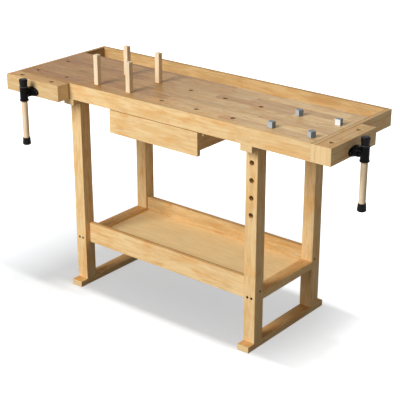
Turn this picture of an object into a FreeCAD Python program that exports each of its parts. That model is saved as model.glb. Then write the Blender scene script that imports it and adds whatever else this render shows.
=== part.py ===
import FreeCAD, Part
import math
import os

from FreeCAD import Placement, Rotation, Vector

# Joiner's workbench with a front vise, an end vise, a drawer, a tool tray and a shelf.
# Millimetres, +X to the right, +Y to the back, +Z up, floor at zero.
# Places are worked out from the middle of the bench's length and the front face of its apron.
# Each finished piece is then moved so that the origin is the middle of the whole outline on the floor.

# Bench top
BENCH_HEIGHT = 850.0
BENCH_LENGTH = 1380.0
BENCH_DEPTH = 482.0
SKIRT_HEIGHT = 62.0
APRON_THICKNESS = 20.0
END_CAP_THICKNESS = 17.0
BACK_BOARD_THICKNESS = 17.0
SLAB_THICKNESS = 28.0
TRAY_WIDTH = 113.0
TRAY_RAIL_THICKNESS = 18.0
TRAY_FLOOR_THICKNESS = 6.0

# Holes for bench dogs, in two rows along the slab
HOLE_RADIUS = 9.5
HOLE_BEVEL = 0.8
HOLE_COLUMNS = 9
HOLE_MARGIN_LEFT = 42.0
HOLE_MARGIN_RIGHT = 32.0
HOLE_ROW_FRONT = 53.5
HOLE_ROW_BACK = 216.5

# Trestles
END_OVERHANG = 247.0
LEG_WIDTH = 50.0
LEG_DEPTH = 50.0
LEG_INSET = 35.0
FOOT_HEIGHT = 24.0
HEAD_RAIL_HEIGHT = 24.0
SIDE_RAIL_HEIGHT = 30.0
SIDE_RAIL_MIDDLE = 202.0
TENON_WIDTH = 26.0
TENON_LENGTH = 16.0

# Peg holes drilled through the right front leg
LEG_HOLE_COUNT = 4
LEG_HOLE_PITCH = 64.5
LEG_HOLE_DROP = 50.0

# Shelf
SHELF_RAIL_HEIGHT = 84.0
SHELF_RAIL_MIDDLE = 224.0
SHELF_RAIL_THICKNESS = 20.0
SHELF_RAIL_SETBACK = 22.0
SHELF_PANEL_TOP = 205.0
SHELF_PANEL_THICKNESS = 6.0
CLEAT_DEPTH = 18.0

# Drawer and its runners
DRAWER_WIDTH = 417.0
DRAWER_FRONT_HEIGHT = 88.5
DRAWER_FRONT_THICKNESS = 17.0
DRAWER_FRONT_GAP = 2.5
DRAWER_SIDE_THICKNESS = 12.0
DRAWER_SIDE_HEIGHT = 69.0
DRAWER_UNDER_TRAY = 15.0
DRAWER_SIDE_GAP = 2.0
DRAWER_BOTTOM_THICKNESS = 6.0
DRAWER_BOTTOM_RAISE = 5.0
DRAWER_GROOVE_DEPTH = 5.0
RUNNER_THICKNESS = 11.0
RUNNER_DROP = 17.0
RUNNER_GAP = 0.8
RUNNER_LEDGE = 6.0
STRIP_WIDTH = 5.0
STRIP_HEIGHT = 6.0
STRIP_START = 23.0
SLIDE_CLEARANCE = 0.3

# Vise jaws
FRONT_JAW_LENGTH = 280.0
END_JAW_LENGTH = 275.0
JAW_THICKNESS = 62.0
JAW_HEIGHT = 62.0

# Vise screw, guide rods and nut block
SCREW_DROP = 44.0
SCREW_RADIUS = 10.0
SCREW_CLEARANCE = 0.4
ROD_RADIUS = 8.0
ROD_SPACING = 104.0
ROD_SOCKET_DEPTH = 40.0
PASSAGE_CLEARANCE = 0.7
VISE_OPENING = 101.25
NUT_SETBACK = 80.0
NUT_LENGTH = 144.0
NUT_THICKNESS = 25.0
ROD_TAIL = 6.0
COLLAR_RADIUS = 15.0
COLLAR_LENGTH = 8.0
COLLAR_CLEARANCE = 0.6

# Vise flange, hub and handle
FLANGE_LENGTH = 72.0
FLANGE_HEIGHT = 36.0
FLANGE_BASE = 4.0
FLANGE_REACH = 22.0
FLANGE_NECK_RADIUS = 17.0
FLANGE_SCREW_SPACING = 54.0
FLANGE_SPOT_RADIUS = 5.2
FLARE_HEIGHT_SHARES = (0.0, 0.06, 0.14, 0.25, 0.4, 0.65, 1.0)
FLARE_SPREAD_SHARES = (1.0, 0.72, 0.5, 0.31, 0.16, 0.05, 0.0)
HUB_STANDOFF = 41.0
HUB_NECK_RADIUS = 13.0
HUB_SHOULDER_RADIUS = 15.0
HUB_TUBE_RADIUS = 15.5
HUB_TUBE_LENGTH = 56.0
HUB_BEAD_RADIUS = 17.0
HUB_BEAD_HEIGHT = 6.0
HUB_RIM_RADIUS = 16.2
HUB_RIM_HEIGHT = 4.0
HUB_SOCKET_DEPTH = 24.0
BAR_RADIUS = 12.0
BAR_DROP = 145.0
CAP_HEIGHT = 29.0
CAP_WIDE_RADIUS = 16.5
CAP_NARROW_RADIUS = 14.0
CAP_SOCKET_DEPTH = 24.0
CAP_ROUNDING = 5.0

# Wooden pegs and steel dogs standing in the holes
PEG_WIDTH = 20.0
PEG_HEIGHT = 114.0
PEG_COLUMNS = (2, 3)
DOG_WIDTH = 20.8
DOG_HEIGHT = 22.0
DOG_COLUMNS = (7, 8)
DOG_TURNS_DEGREES = (-1.0, -21.0, -18.0, 7.0)
SHANK_CLEARANCE = 0.3
SHANK_RECESS = 2.0

# Fasteners
BOLT_SHANK_RADIUS = 3.0
BOLT_HEAD_RADIUS = 5.0
BOLT_HEAD_HEIGHT = 6.0
BOLT_HEAD_RECESS = 3.0
BOLT_KEY_RADIUS = 2.9
BOLT_KEY_DEPTH = 3.0
SIDE_RAIL_BOLT_PITCH = 18.0
SIDE_RAIL_BOLT_GRIP = 40.0
BARREL_NUT_RADIUS = 5.0
BARREL_NUT_LENGTH = 14.0
BARREL_NUT_RECESS = 1.0
BARREL_NUT_SETBACK = 31.0
BOLT_TAIL = 12.0
TOP_BOLT_GRIP = 26.0
NUT_SCREW_SPACING = 54.0
NUT_SCREW_GRIP = 16.0

# Small rounding of wood and metal edges
BOARD_EASING = 0.8
TIMBER_EASING = 1.6
METAL_EASING = 0.8
EASING_LIMIT_SHARE = 0.2

# How far a cutting tool runs past the face that it cuts
OVERRUN = 1.0

# Heights and places worked out from the sizes above
LEFT = -BENCH_LENGTH / 2
RIGHT = BENCH_LENGTH / 2
INNER_LEFT = LEFT + END_CAP_THICKNESS
INNER_RIGHT = RIGHT - END_CAP_THICKNESS
APRON_BOTTOM = BENCH_HEIGHT - SKIRT_HEIGHT
SLAB_BOTTOM = BENCH_HEIGHT - SLAB_THICKNESS
BACK_BOARD_FRONT = BENCH_DEPTH - BACK_BOARD_THICKNESS
SLAB_BACK = BACK_BOARD_FRONT - TRAY_WIDTH
TRAY_RAIL_FRONT = SLAB_BACK - TRAY_RAIL_THICKNESS
HEAD_RAIL_BOTTOM = APRON_BOTTOM - HEAD_RAIL_HEIGHT
LEG_ROWS = {"front": LEG_INSET, "back": BENCH_DEPTH - LEG_INSET - LEG_DEPTH}
SIDES = {"left": -1, "right": 1}
LEG_OUTER = RIGHT - END_OVERHANG
LEG_INNER = LEG_OUTER - LEG_WIDTH
TRESTLE_SPACING = LEG_INNER + LEG_OUTER
SIDE_RAIL_BOTTOM = SIDE_RAIL_MIDDLE - SIDE_RAIL_HEIGHT / 2
SHELF_RAIL_BOTTOM = SHELF_RAIL_MIDDLE - SHELF_RAIL_HEIGHT / 2
SHELF_RAIL_FRONT = LEG_INSET + SHELF_RAIL_SETBACK
SHELF_RAIL_BACK = SHELF_RAIL_FRONT + SHELF_RAIL_THICKNESS
SHELF_PANEL_BOTTOM = SHELF_PANEL_TOP - SHELF_PANEL_THICKNESS
HOLE_PITCH = (INNER_RIGHT - INNER_LEFT - HOLE_MARGIN_LEFT - HOLE_MARGIN_RIGHT) / (HOLE_COLUMNS - 1)
HOLE_ROWS = {"front": HOLE_ROW_FRONT, "back": HOLE_ROW_BACK}
SCREW_HEIGHT = BENCH_HEIGHT - SCREW_DROP
FRONT_SCREW_X = LEFT + FRONT_JAW_LENGTH / 2
END_SCREW_Y = END_JAW_LENGTH / 2
ROD_REACH = NUT_SETBACK + NUT_THICKNESS + VISE_OPENING + ROD_TAIL
BAR_BORE_RADIUS = BAR_RADIUS + SCREW_CLEARANCE
SHANK_RADIUS = HOLE_RADIUS - SHANK_CLEARANCE
SHANK_LENGTH = SLAB_THICKNESS - SHANK_RECESS
DRAWER_HALF = DRAWER_WIDTH / 2
DRAWER_SIDE_TOP = APRON_BOTTOM - DRAWER_SIDE_GAP
DRAWER_SIDE_BOTTOM = DRAWER_SIDE_TOP - DRAWER_SIDE_HEIGHT
DRAWER_FLOOR_BOTTOM = DRAWER_SIDE_BOTTOM + DRAWER_BOTTOM_RAISE
DRAWER_FLOOR_TOP = DRAWER_FLOOR_BOTTOM + DRAWER_BOTTOM_THICKNESS
DRAWER_BACK_END = SLAB_BACK + DRAWER_UNDER_TRAY
RUNNER_BOTTOM = APRON_BOTTOM - RUNNER_DROP
STRIP_BOTTOM = RUNNER_BOTTOM + RUNNER_LEDGE + SLIDE_CLEARANCE

# The outline on the floor, handles included, and the shift that centres it
HANDLE_REACH = JAW_THICKNESS + HUB_STANDOFF + max(HUB_BEAD_RADIUS, CAP_WIDE_RADIUS)
OUTLINE_MIDDLE_X = (LEFT + RIGHT + HANDLE_REACH) / 2
OUTLINE_MIDDLE_Y = (BENCH_DEPTH - HANDLE_REACH) / 2

UP = Vector(0, 0, 1)
DOWN = Vector(0, 0, -1)
ALONG = Vector(1, 0, 0)
BACKWARD = Vector(0, 1, 0)
FORWARD = Vector(0, -1, 0)


# Shape helpers


def eased(shape, easing, limit):
    """Round every edge of a plain solid, by no more than a share of its thinnest side."""
    return shape.makeFillet(min(easing, EASING_LIMIT_SHARE * limit), shape.Edges)


def plain_block(x_span, y_span, z_span):
    """A sharp-edged box between pairs of coordinates."""
    sizes = [high - low for low, high in (x_span, y_span, z_span)]
    return Part.makeBox(*sizes, Vector(x_span[0], y_span[0], z_span[0]))


def block(x_span, y_span, z_span, easing):
    """A box with its edges rounded."""
    thinnest = min(high - low for low, high in (x_span, y_span, z_span))
    return eased(plain_block(x_span, y_span, z_span), easing, thinnest)


def mirrored_span(side, near, far):
    """An X span on the left (-1) or right (+1) of the bench, from two distances from its middle."""
    return tuple(sorted((side * near, side * far)))


def rod(start, direction, radius, length):
    """A round bar from a point along a direction."""
    return Part.makeCylinder(radius, length, start, direction)


def hole_column(column):
    """The X of a column of dog holes, counted from the left."""
    return INNER_LEFT + HOLE_MARGIN_LEFT + column * HOLE_PITCH


def beveled_hole(mouth, inward, depth):
    """The cutting tool of a round hole with a small bevel at its mouth."""
    start = mouth - inward * OVERRUN
    bore = rod(start, inward, HOLE_RADIUS, depth + OVERRUN)
    wide_radius = HOLE_RADIUS + HOLE_BEVEL + OVERRUN
    bevel_depth = HOLE_BEVEL + OVERRUN
    bevel = Part.makeCone(wide_radius, HOLE_RADIUS, bevel_depth, start, inward)
    return bore.fuse(bevel)


def socket_bolt(head_top, inward, shank_length):
    """A cap bolt with a hexagon key socket, from the outer face of its head inward."""
    head = eased(rod(Vector(), UP, BOLT_HEAD_RADIUS, BOLT_HEAD_HEIGHT), METAL_EASING, BOLT_HEAD_HEIGHT)
    shank = rod(UP * BOLT_HEAD_HEIGHT, UP, BOLT_SHANK_RADIUS, shank_length)
    corners = [
        Vector(BOLT_KEY_RADIUS * math.cos(turn), BOLT_KEY_RADIUS * math.sin(turn), -OVERRUN)
        for turn in (math.pi / 3 * corner for corner in range(7))
    ]
    key = Part.Face(Part.makePolygon(corners)).extrude(UP * (BOLT_KEY_DEPTH + OVERRUN))
    bolt = head.fuse(shank).cut(key).removeSplitter()
    bolt.Placement = Placement(head_top, Rotation(UP, inward))
    return bolt


def bolt_passage(mouth, inward, length):
    """The cutting tool for a cap bolt: a counterbore for its head and a hole for its shank."""
    start = mouth - inward * OVERRUN
    counterbore_depth = BOLT_HEAD_RECESS + BOLT_HEAD_HEIGHT
    counterbore = rod(start, inward, BOLT_HEAD_RADIUS + SCREW_CLEARANCE, counterbore_depth + OVERRUN)
    return counterbore.fuse(rod(start, inward, BOLT_SHANK_RADIUS, length + OVERRUN))


# Bolts of the frame: each is (mouth of its hole, inward direction, shank length)


def side_rail_bolts():
    """Two bolts through each leg into the end of the side rail between the legs."""
    bolts = []
    length = LEG_DEPTH - BOLT_HEAD_RECESS - BOLT_HEAD_HEIGHT + SIDE_RAIL_BOLT_GRIP
    faces = ((LEG_INSET, BACKWARD), (BENCH_DEPTH - LEG_INSET, FORWARD))
    for side in SIDES.values():
        for face, inward in faces:
            for half in (-1, 1):
                x = side * TRESTLE_SPACING / 2 + half * SIDE_RAIL_BOLT_PITCH / 2
                bolts.append((Vector(x, face, SIDE_RAIL_MIDDLE), inward, length))
    return bolts


def shelf_rail_middles():
    """The Y of the middle of the front and back shelf rails."""
    front = SHELF_RAIL_FRONT + SHELF_RAIL_THICKNESS / 2
    return front, BENCH_DEPTH - front


def shelf_rail_bolts():
    """One bolt through the outside of each leg into the end of a shelf rail."""
    bolts = []
    length = LEG_WIDTH - BOLT_HEAD_RECESS - BOLT_HEAD_HEIGHT + BARREL_NUT_SETBACK + BOLT_TAIL
    for side in SIDES.values():
        for y in shelf_rail_middles():
            mouth = Vector(side * LEG_OUTER, y, SHELF_RAIL_MIDDLE)
            bolts.append((mouth, ALONG * -side, length))
    return bolts


def top_bolts():
    """Bolts up through the head rails into the bearers under the slab."""
    bolts = []
    length = HEAD_RAIL_HEIGHT - BOLT_HEAD_RECESS - BOLT_HEAD_HEIGHT + TOP_BOLT_GRIP
    for side in SIDES.values():
        for y in (LEG_INSET + 2 * LEG_DEPTH, TRAY_RAIL_FRONT - LEG_DEPTH):
            bolts.append((Vector(side * TRESTLE_SPACING / 2, y, HEAD_RAIL_BOTTOM), UP, length))
    return bolts


def passages(bolts):
    """Cutting tools for a list of bolts."""
    reach = BOLT_HEAD_RECESS + BOLT_HEAD_HEIGHT
    return [bolt_passage(mouth, inward, reach + length) for mouth, inward, length in bolts]


def seated(bolts):
    """The bolts themselves, with their heads below the wood's face."""
    return [socket_bolt(mouth + inward * BOLT_HEAD_RECESS, inward, length) for mouth, inward, length in bolts]


# Vises, built along the front of the bench with the screw's axis at x = 0 and the jaw closed at y = 0


def to_front_vise(shape):
    """Carry a vise piece to the front of the bench."""
    moved = shape.copy()
    moved.translate(ALONG * FRONT_SCREW_X)
    return moved


def to_end_vise(shape):
    """Carry a vise piece round to the right-hand end of the bench."""
    moved = shape.copy()
    moved.rotate(Vector(), UP, 90)
    moved.translate(Vector(RIGHT, END_SCREW_Y, 0))
    return moved


def rod_axes():
    """A point on the axis of each guide rod, at the jaw's inner face."""
    return [Vector(half * ROD_SPACING / 2, 0, SCREW_HEIGHT) for half in (-1, 1)]


def vise_passages(depth):
    """Clearance holes for the screw and the guide rods through the board behind the jaw."""
    screw_radius = SCREW_RADIUS + PASSAGE_CLEARANCE
    start = Vector(0, -OVERRUN, SCREW_HEIGHT)
    tools = [rod(start, BACKWARD, screw_radius, depth + 2 * OVERRUN)]
    rod_radius = ROD_RADIUS + PASSAGE_CLEARANCE
    for axis in rod_axes():
        tools.append(rod(axis - BACKWARD * OVERRUN, BACKWARD, rod_radius, depth + 2 * OVERRUN))
    return tools


def vise_jaw(length, hole_offsets):
    """The wooden jaw, with its dog holes, screw hole, collar recess and rod sockets."""
    bottom = BENCH_HEIGHT - JAW_HEIGHT
    jaw = block((-length / 2, length / 2), (-JAW_THICKNESS, 0), (bottom, BENCH_HEIGHT), TIMBER_EASING)
    inner = Vector(0, OVERRUN, SCREW_HEIGHT)
    tools = [rod(inner, FORWARD, SCREW_RADIUS + SCREW_CLEARANCE, JAW_THICKNESS + 2 * OVERRUN)]
    recess_depth = COLLAR_LENGTH + 2 * COLLAR_CLEARANCE
    tools.append(rod(inner, FORWARD, COLLAR_RADIUS + COLLAR_CLEARANCE, recess_depth + OVERRUN))
    for axis in rod_axes():
        tools.append(rod(axis + BACKWARD * OVERRUN, FORWARD, ROD_RADIUS, ROD_SOCKET_DEPTH + OVERRUN))
    for offset in hole_offsets:
        mouth = Vector(offset, -JAW_THICKNESS / 2, BENCH_HEIGHT)
        tools.append(beveled_hole(mouth, DOWN, JAW_HEIGHT + OVERRUN))
    return jaw.cut(tools)


def vise_guide_rods():
    """Two steel rods held in the jaw, running back through the nut block."""
    rods = []
    for axis in rod_axes():
        bar = rod(axis + FORWARD * ROD_SOCKET_DEPTH, BACKWARD, ROD_RADIUS, ROD_SOCKET_DEPTH + ROD_REACH)
        rods.append(eased(bar, METAL_EASING, ROD_RADIUS))
    return Part.makeCompound(rods)


def oval_wire(length, height, y):
    """An upright oval outline centred on the screw's axis."""
    centre = Vector(0, y, SCREW_HEIGHT)
    axis_end = centre + ALONG * (length / 2)
    top = centre + UP * (height / 2)
    return Part.Wire([Part.Ellipse(axis_end, top, centre).toShape()])


def flare_section(height_share, spread_share):
    """An oval across the flange, between its neck and its foot."""
    neck = 2 * FLANGE_NECK_RADIUS
    length = neck + METAL_EASING + spread_share * (FLANGE_LENGTH - FLANGE_BASE - neck)
    height = neck + spread_share * (FLANGE_HEIGHT - METAL_EASING - neck)
    reach = FLANGE_BASE + height_share * (FLANGE_REACH - FLANGE_BASE)
    return oval_wire(length, height, -JAW_THICKNESS - reach)


def vise_flange():
    """The casting on the jaw's face: an oval foot that curves in to a neck, with flats for two screws."""
    face = -JAW_THICKNESS
    base = Part.Face(oval_wire(FLANGE_LENGTH, FLANGE_HEIGHT, face)).extrude(FORWARD * FLANGE_BASE)
    sections = [flare_section(*shares) for shares in zip(FLARE_HEIGHT_SHARES, FLARE_SPREAD_SHARES)]
    flare = Part.makeLoft(sections, True, True)
    bore_start = Vector(0, face + OVERRUN, SCREW_HEIGHT)
    tools = [rod(bore_start, FORWARD, HUB_NECK_RADIUS + SCREW_CLEARANCE, FLANGE_REACH + 2 * OVERRUN)]
    for half in (-1, 1):
        flat = Vector(half * FLANGE_SCREW_SPACING / 2, face - FLANGE_BASE, SCREW_HEIGHT)
        tools.append(rod(flat, FORWARD, FLANGE_SPOT_RADIUS, FLANGE_REACH))
    return base.fuse(flare).cut(tools).removeSplitter()


def hub_neck_start():
    """How far from the jaw's inner face the hub's neck begins, inside the flange."""
    return JAW_THICKNESS + SCREW_CLEARANCE


def vise_screw():
    """The screw, from its end in the hub back through the jaw, the board and the nut block."""
    outer = hub_neck_start() + HUB_SOCKET_DEPTH
    screw = rod(Vector(0, -outer, SCREW_HEIGHT), BACKWARD, SCREW_RADIUS, outer + ROD_REACH)
    return eased(screw, METAL_EASING, SCREW_RADIUS)


def vise_collar():
    """The ring on the screw that pulls the jaw back when the screw is undone."""
    start = Vector(0, -COLLAR_CLEARANCE, SCREW_HEIGHT)
    ring = eased(rod(start, FORWARD, COLLAR_RADIUS, COLLAR_LENGTH), METAL_EASING, COLLAR_LENGTH)
    bore_start = Vector(0, OVERRUN, SCREW_HEIGHT)
    return ring.cut(rod(bore_start, FORWARD, SCREW_RADIUS, COLLAR_LENGTH + COLLAR_CLEARANCE + 2 * OVERRUN))


def upright(radius, bottom, height, easing):
    """An upright round piece on the handle's axis, with rounded ends."""
    start = Vector(0, -JAW_THICKNESS - HUB_STANDOFF, bottom)
    return eased(rod(start, UP, radius, height), easing, height)


def vise_hub():
    """The cast head of the screw: a neck, a shoulder and a cross tube for the bar."""
    tube_bottom = SCREW_HEIGHT - HUB_TUBE_LENGTH / 2
    tube_top = tube_bottom + HUB_TUBE_LENGTH
    hub = upright(HUB_TUBE_RADIUS, tube_bottom, HUB_TUBE_LENGTH, METAL_EASING)
    hub = hub.fuse(upright(HUB_BEAD_RADIUS, tube_bottom, HUB_BEAD_HEIGHT, HUB_BEAD_HEIGHT))
    hub = hub.fuse(upright(HUB_RIM_RADIUS, tube_top - HUB_RIM_HEIGHT, HUB_RIM_HEIGHT, METAL_EASING))
    neck_start = hub_neck_start()
    axis_reach = JAW_THICKNESS + HUB_STANDOFF
    neck = rod(Vector(0, -neck_start, SCREW_HEIGHT), FORWARD, HUB_NECK_RADIUS, axis_reach - neck_start)
    shoulder_start = JAW_THICKNESS + FLANGE_REACH + SCREW_CLEARANCE
    shoulder = rod(
        Vector(0, -shoulder_start, SCREW_HEIGHT), FORWARD, HUB_SHOULDER_RADIUS, axis_reach - shoulder_start
    )
    hub = hub.fuse([neck, shoulder])
    bar_bore = rod(
        Vector(0, -axis_reach, tube_bottom - OVERRUN), UP, BAR_BORE_RADIUS, HUB_TUBE_LENGTH + 2 * OVERRUN
    )
    socket_start = Vector(0, OVERRUN - neck_start, SCREW_HEIGHT)
    socket = rod(socket_start, FORWARD, SCREW_RADIUS, HUB_SOCKET_DEPTH + OVERRUN)
    return hub.cut([bar_bore, socket]).removeSplitter()


def cap_places():
    """The heights where the upper cap rests on the hub and where the lower cap begins."""
    upper = SCREW_HEIGHT + HUB_TUBE_LENGTH / 2
    lower = SCREW_HEIGHT - HUB_TUBE_LENGTH / 2 - BAR_DROP
    return upper, lower


def vise_bar():
    """The wooden bar that turns the screw, between the bottoms of its caps' sockets."""
    upper, lower = cap_places()
    bottom = lower - CAP_SOCKET_DEPTH
    return upright(BAR_RADIUS, bottom, upper + CAP_SOCKET_DEPTH - bottom, METAL_EASING)


def end_cap(height, outward):
    """A tapered cap that widens away from the hub, with a socket for the bar's end."""
    mouth = Vector(0, -JAW_THICKNESS - HUB_STANDOFF, height)
    cone = Part.makeCone(CAP_NARROW_RADIUS, CAP_WIDE_RADIUS, CAP_HEIGHT, mouth, outward)
    rounding = min(CAP_ROUNDING, CAP_HEIGHT - CAP_SOCKET_DEPTH)
    end_edges = [edge for edge in cone.Edges if abs(edge.BoundBox.Center.z - height) > CAP_SOCKET_DEPTH]
    cone = cone.makeFillet(rounding, end_edges)
    return cone.cut(rod(mouth - outward * OVERRUN, outward, BAR_RADIUS, CAP_SOCKET_DEPTH + OVERRUN))


def vise_bar_caps():
    """The caps on both ends of the bar."""
    upper, lower = cap_places()
    return Part.makeCompound([end_cap(upper, UP), end_cap(lower, DOWN)])


def nut_screw_places():
    """The axes of the two screws that hold a nut block up to the slab."""
    y = NUT_SETBACK + NUT_THICKNESS / 2
    return [Vector(half * NUT_SCREW_SPACING / 2, y, APRON_BOTTOM) for half in (-1, 1)]


def nut_screws():
    """The screws of one nut block, as bolts."""
    length = SLAB_BOTTOM - APRON_BOTTOM - BOLT_HEAD_RECESS - BOLT_HEAD_HEIGHT + NUT_SCREW_GRIP
    return [(place, UP, length) for place in nut_screw_places()]


def vise_nut_block():
    """The cast block under the slab with the screw's nut and the rods' guide holes."""
    y_span = (NUT_SETBACK, NUT_SETBACK + NUT_THICKNESS)
    nut = block((-NUT_LENGTH / 2, NUT_LENGTH / 2), y_span, (APRON_BOTTOM, SLAB_BOTTOM), METAL_EASING)
    depth = NUT_THICKNESS + 2 * OVERRUN
    start = BACKWARD * (NUT_SETBACK - OVERRUN)
    tools = [rod(start + UP * SCREW_HEIGHT, BACKWARD, SCREW_RADIUS + SCREW_CLEARANCE, depth)]
    for axis in rod_axes():
        tools.append(rod(start + axis, BACKWARD, ROD_RADIUS + SCREW_CLEARANCE, depth))
    return nut.cut(tools + passages(nut_screws()))


def jaw_hole_offsets_front():
    """Dog holes in the front jaw line up with the slab's columns that fall on it."""
    places = [hole_column(column) - FRONT_SCREW_X for column in range(HOLE_COLUMNS)]
    return [place for place in places if abs(place) < FRONT_JAW_LENGTH / 2 - 2 * HOLE_RADIUS]


def jaw_hole_offsets_end():
    """Dog holes in the end jaw line up with the slab's rows."""
    return [row - END_SCREW_Y for row in HOLE_ROWS.values()]


def vise_nodes(prefix, carry, length, hole_offsets):
    """All the pieces of one vise that move."""
    pieces = {
        "jaw": vise_jaw(length, hole_offsets),
        "guide_rods": vise_guide_rods(),
        "flange": vise_flange(),
        "screw": vise_screw(),
        "collar": vise_collar(),
        "hub": vise_hub(),
        "bar": vise_bar(),
        "bar_caps": vise_bar_caps(),
    }
    return {f"{prefix}_vise_{name}": carry(shape) for name, shape in pieces.items()}


# Bench top


def top_slab():
    """The working surface, with its two rows of dog holes and pilot holes for the nut blocks' screws."""
    y_span = (APRON_THICKNESS, SLAB_BACK)
    slab = block((INNER_LEFT, INNER_RIGHT), y_span, (SLAB_BOTTOM, BENCH_HEIGHT), BOARD_EASING)
    tools = []
    for column in range(HOLE_COLUMNS):
        for row in HOLE_ROWS.values():
            mouth = Vector(hole_column(column), row, BENCH_HEIGHT)
            tools.append(beveled_hole(mouth, DOWN, SLAB_THICKNESS + OVERRUN))
    for carry in (to_front_vise, to_end_vise):
        tools.extend(carry(tool) for tool in passages(nut_screws()))
    return slab.cut(tools)


def front_apron():
    """The board along the front edge, bored for the front vise."""
    span = (APRON_BOTTOM, BENCH_HEIGHT)
    apron = block((INNER_LEFT, INNER_RIGHT), (0, APRON_THICKNESS), span, BOARD_EASING)
    return apron.cut([to_front_vise(tool) for tool in vise_passages(APRON_THICKNESS)])


def end_cap_board(side):
    """The board across one end of the top. The right one is bored for the end vise."""
    x_span = mirrored_span(side, INNER_RIGHT, RIGHT)
    board = block(x_span, (0, BENCH_DEPTH), (APRON_BOTTOM, BENCH_HEIGHT), BOARD_EASING)
    if side == SIDES["left"]:
        return board
    return board.cut([to_end_vise(tool) for tool in vise_passages(END_CAP_THICKNESS)])


def back_board():
    """The board along the back of the tool tray."""
    y_span = (BACK_BOARD_FRONT, BENCH_DEPTH)
    return block((INNER_LEFT, INNER_RIGHT), y_span, (APRON_BOTTOM, BENCH_HEIGHT), BOARD_EASING)


def tray_front_rail():
    """The rail under the slab's back edge, which is the tray's front wall."""
    y_span = (TRAY_RAIL_FRONT, SLAB_BACK)
    return block((INNER_LEFT, INNER_RIGHT), y_span, (APRON_BOTTOM, SLAB_BOTTOM), BOARD_EASING)


def tray_floor():
    """The thin floor of the tool tray, lying on the trestles' head rails."""
    z_span = (APRON_BOTTOM, APRON_BOTTOM + TRAY_FLOOR_THICKNESS)
    return block((INNER_LEFT, INNER_RIGHT), (SLAB_BACK, BACK_BOARD_FRONT), z_span, BOARD_EASING)


def slab_bearers():
    """Cross pieces between the head rails and the slab."""
    bolts = passages(top_bolts())
    bearers = []
    for side in SIDES.values():
        x_span = mirrored_span(side, LEG_INNER, LEG_OUTER)
        bearer = block(x_span, (APRON_THICKNESS, TRAY_RAIL_FRONT), (APRON_BOTTOM, SLAB_BOTTOM), BOARD_EASING)
        bearers.append(bearer.cut(bolts))
    return Part.makeCompound(bearers)


# Trestles


def tenon(side, row, z_span):
    """The tongue on one end of a leg."""
    middle_x = side * TRESTLE_SPACING / 2
    middle_y = LEG_ROWS[row] + LEG_DEPTH / 2
    half = TENON_WIDTH / 2
    return plain_block((middle_x - half, middle_x + half), (middle_y - half, middle_y + half), z_span)


def foot_tenons(side):
    """Both legs' lower tongues on one trestle."""
    return [tenon(side, row, (FOOT_HEIGHT - TENON_LENGTH, FOOT_HEIGHT + OVERRUN)) for row in LEG_ROWS]


def head_tenons(side):
    """Both legs' upper tongues on one trestle."""
    span = (HEAD_RAIL_BOTTOM - OVERRUN, HEAD_RAIL_BOTTOM + TENON_LENGTH)
    return [tenon(side, row, span) for row in LEG_ROWS]


def leg_peg_holes():
    """Holes for pegs that hold up long boards, through the right front leg."""
    top = HEAD_RAIL_BOTTOM - LEG_HOLE_DROP
    tools = []
    for step in range(LEG_HOLE_COUNT):
        mouth = Vector(TRESTLE_SPACING / 2, LEG_INSET, top - step * LEG_HOLE_PITCH)
        tools.append(beveled_hole(mouth, BACKWARD, LEG_DEPTH + OVERRUN))
    return tools


def leg(side, row):
    """One leg, with its tongues and bolt holes."""
    y = LEG_ROWS[row]
    post = block(
        mirrored_span(side, LEG_INNER, LEG_OUTER),
        (y, y + LEG_DEPTH),
        (FOOT_HEIGHT, HEAD_RAIL_BOTTOM),
        TIMBER_EASING,
    )
    lower = tenon(side, row, (FOOT_HEIGHT - TENON_LENGTH, FOOT_HEIGHT + OVERRUN))
    upper = tenon(side, row, (HEAD_RAIL_BOTTOM - OVERRUN, HEAD_RAIL_BOTTOM + TENON_LENGTH))
    post = post.fuse([lower, upper]).removeSplitter()
    tools = passages(side_rail_bolts()) + passages(shelf_rail_bolts())
    if side == SIDES["right"] and row == "front":
        tools += leg_peg_holes()
    return post.cut(tools)


def foot(side):
    """The bar on the floor under one trestle."""
    x_span = mirrored_span(side, LEG_INNER, LEG_OUTER)
    return block(x_span, (0, BENCH_DEPTH), (0, FOOT_HEIGHT), TIMBER_EASING).cut(foot_tenons(side))


def head_rail(side):
    """The bar on top of one trestle, under the bench top."""
    x_span = mirrored_span(side, LEG_INNER, LEG_OUTER)
    rail = block(x_span, (0, BENCH_DEPTH), (HEAD_RAIL_BOTTOM, APRON_BOTTOM), TIMBER_EASING)
    return rail.cut(head_tenons(side) + passages(top_bolts()))


def side_rail(side):
    """The rail between the front and back legs of one trestle."""
    x_span = mirrored_span(side, LEG_INNER, LEG_OUTER)
    y_span = (LEG_INSET + LEG_DEPTH, BENCH_DEPTH - LEG_INSET - LEG_DEPTH)
    z_span = (SIDE_RAIL_BOTTOM, SIDE_RAIL_BOTTOM + SIDE_RAIL_HEIGHT)
    return block(x_span, y_span, z_span, TIMBER_EASING).cut(passages(side_rail_bolts()))


# Shelf


def barrel_nut_places():
    """The open end of each barrel nut's hole and the direction into its rail."""
    places = []
    x = LEG_INNER - BARREL_NUT_SETBACK
    faces = ((SHELF_RAIL_BACK, FORWARD), (BENCH_DEPTH - SHELF_RAIL_BACK, BACKWARD))
    for side in SIDES.values():
        for face, inward in faces:
            places.append((Vector(side * x, face, SHELF_RAIL_MIDDLE), inward))
    return places


def barrel_nuts():
    """Round cross nuts in the shelf rails, which the rail bolts pull on."""
    bolts = passages(shelf_rail_bolts())
    nuts = []
    for mouth, inward in barrel_nut_places():
        nut = rod(mouth + inward * BARREL_NUT_RECESS, inward, BARREL_NUT_RADIUS, BARREL_NUT_LENGTH)
        nuts.append(eased(nut, METAL_EASING, BARREL_NUT_RADIUS).cut(bolts))
    return Part.makeCompound(nuts)


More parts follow.
